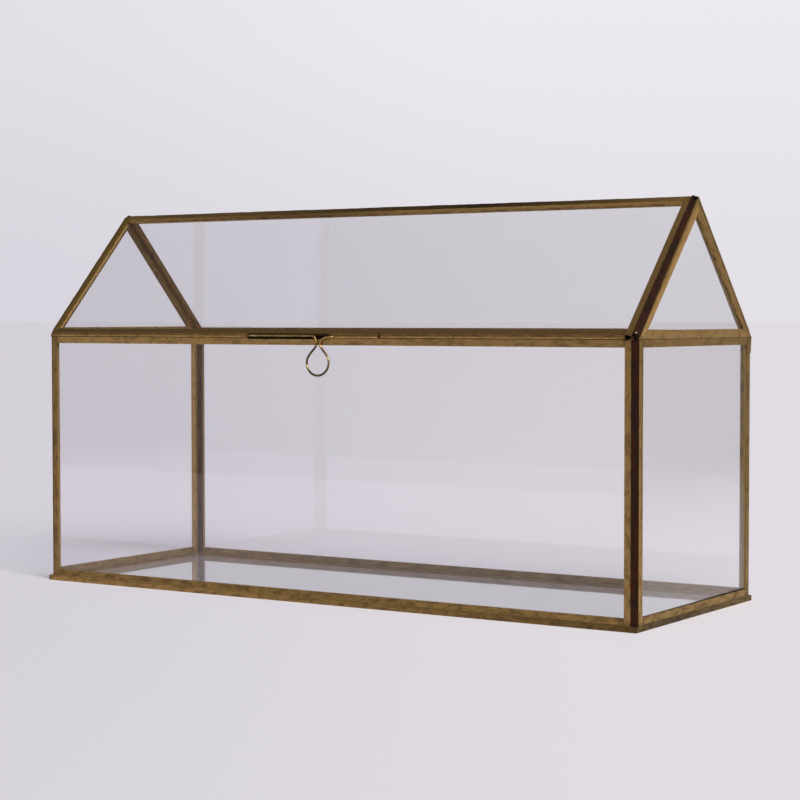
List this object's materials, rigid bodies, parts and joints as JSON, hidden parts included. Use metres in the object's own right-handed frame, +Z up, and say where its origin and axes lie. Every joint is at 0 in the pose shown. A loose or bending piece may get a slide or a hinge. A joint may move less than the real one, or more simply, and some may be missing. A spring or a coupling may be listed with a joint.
{
  "type": "glass terrarium",
  "caption": "Long house-shaped glass terrarium in antique brass channel, with a gable lid hinged along the rear eave and a wire loop pull at the front.",
  "frame": {"origin": "centre of the underside of the base, on the surface it stands on", "axes": "+X to the object's right along its length as seen from the front, +Y to the back where the lid is hinged, +Z up"},
  "size_m": [0.45, 0.1687, 0.2542],
  "materials": {
    "clear_glass": "clear 2 mm sheet glass, polished faces",
    "antique_brass": "antiqued brass, brushed along its length and mottled with dark patina",
    "brass_wire": "drawn brass wire, smooth with worn bright patches",
    "dark_solder": "solder seam darkened to a reddish brown, slightly lumpy"
  },
  "bodies": {
    "box": {"base_pane": "clear_glass", "base_channel_front": "antique_brass", "base_channel_right": "antique_brass", "base_channel_back": "antique_brass", "base_channel_left": "antique_brass", "front_wall_pane": "clear_glass", "front_wall_channel_bottom": "antique_brass", "front_wall_channel_right": "antique_brass", "front_wall_channel_top": "antique_brass", "front_wall_channel_left": "antique_brass", "right_wall_pane": "clear_glass", "right_wall_channel_bottom": "antique_brass", "right_wall_channel_back": "antique_brass", "right_wall_channel_top": "antique_brass", "right_wall_channel_front": "antique_brass", "back_wall_pane": "clear_glass", "back_wall_channel_bottom": "antique_brass", "back_wall_channel_left": "antique_brass", "back_wall_channel_top": "antique_brass", "back_wall_channel_right": "antique_brass", "left_wall_pane": "clear_glass", "left_wall_channel_bottom": "antique_brass", "left_wall_channel_front": "antique_brass", "left_wall_channel_top": "antique_brass", "left_wall_channel_back": "antique_brass", "back_right_corner_seam": "dark_solder", "back_left_corner_seam": "dark_solder", "front_left_corner_seam": "dark_solder", "front_right_corner_seam": "dark_solder", "hinge_rod": "brass_wire"},
    "lid": {"front_slope_pane": "clear_glass", "front_slope_channel_eave": "antique_brass", "front_slope_channel_right": "antique_brass", "front_slope_channel_ridge": "antique_brass", "front_slope_channel_left": "antique_brass", "back_slope_pane": "clear_glass", "back_slope_channel_eave": "antique_brass", "back_slope_channel_left": "antique_brass", "back_slope_channel_ridge": "antique_brass", "back_slope_channel_right": "antique_brass", "right_gable_pane": "clear_glass", "right_gable_channel_foot": "antique_brass", "right_gable_channel_back": "antique_brass", "right_gable_channel_front": "antique_brass", "left_gable_pane": "clear_glass", "left_gable_channel_foot": "antique_brass", "left_gable_channel_front": "antique_brass", "left_gable_channel_back": "antique_brass", "front_right_rafter_seam": "dark_solder", "front_left_rafter_seam": "dark_solder", "back_left_rafter_seam": "dark_solder", "back_right_rafter_seam": "dark_solder", "ridge_seam": "dark_solder", "hinge_tube": "antique_brass", "eave_rod_left": "antique_brass", "eave_rod_right": "antique_brass", "pull_wire": "brass_wire"}
  },
  "joints": [
    {"name": "lid_hinge", "type": "hinge", "parent": "box", "child": "lid", "pos_m": [0, 0.08303, 0.1695], "axis": [-1, 0, 0], "range_deg": [0, 110]}
  ]
}
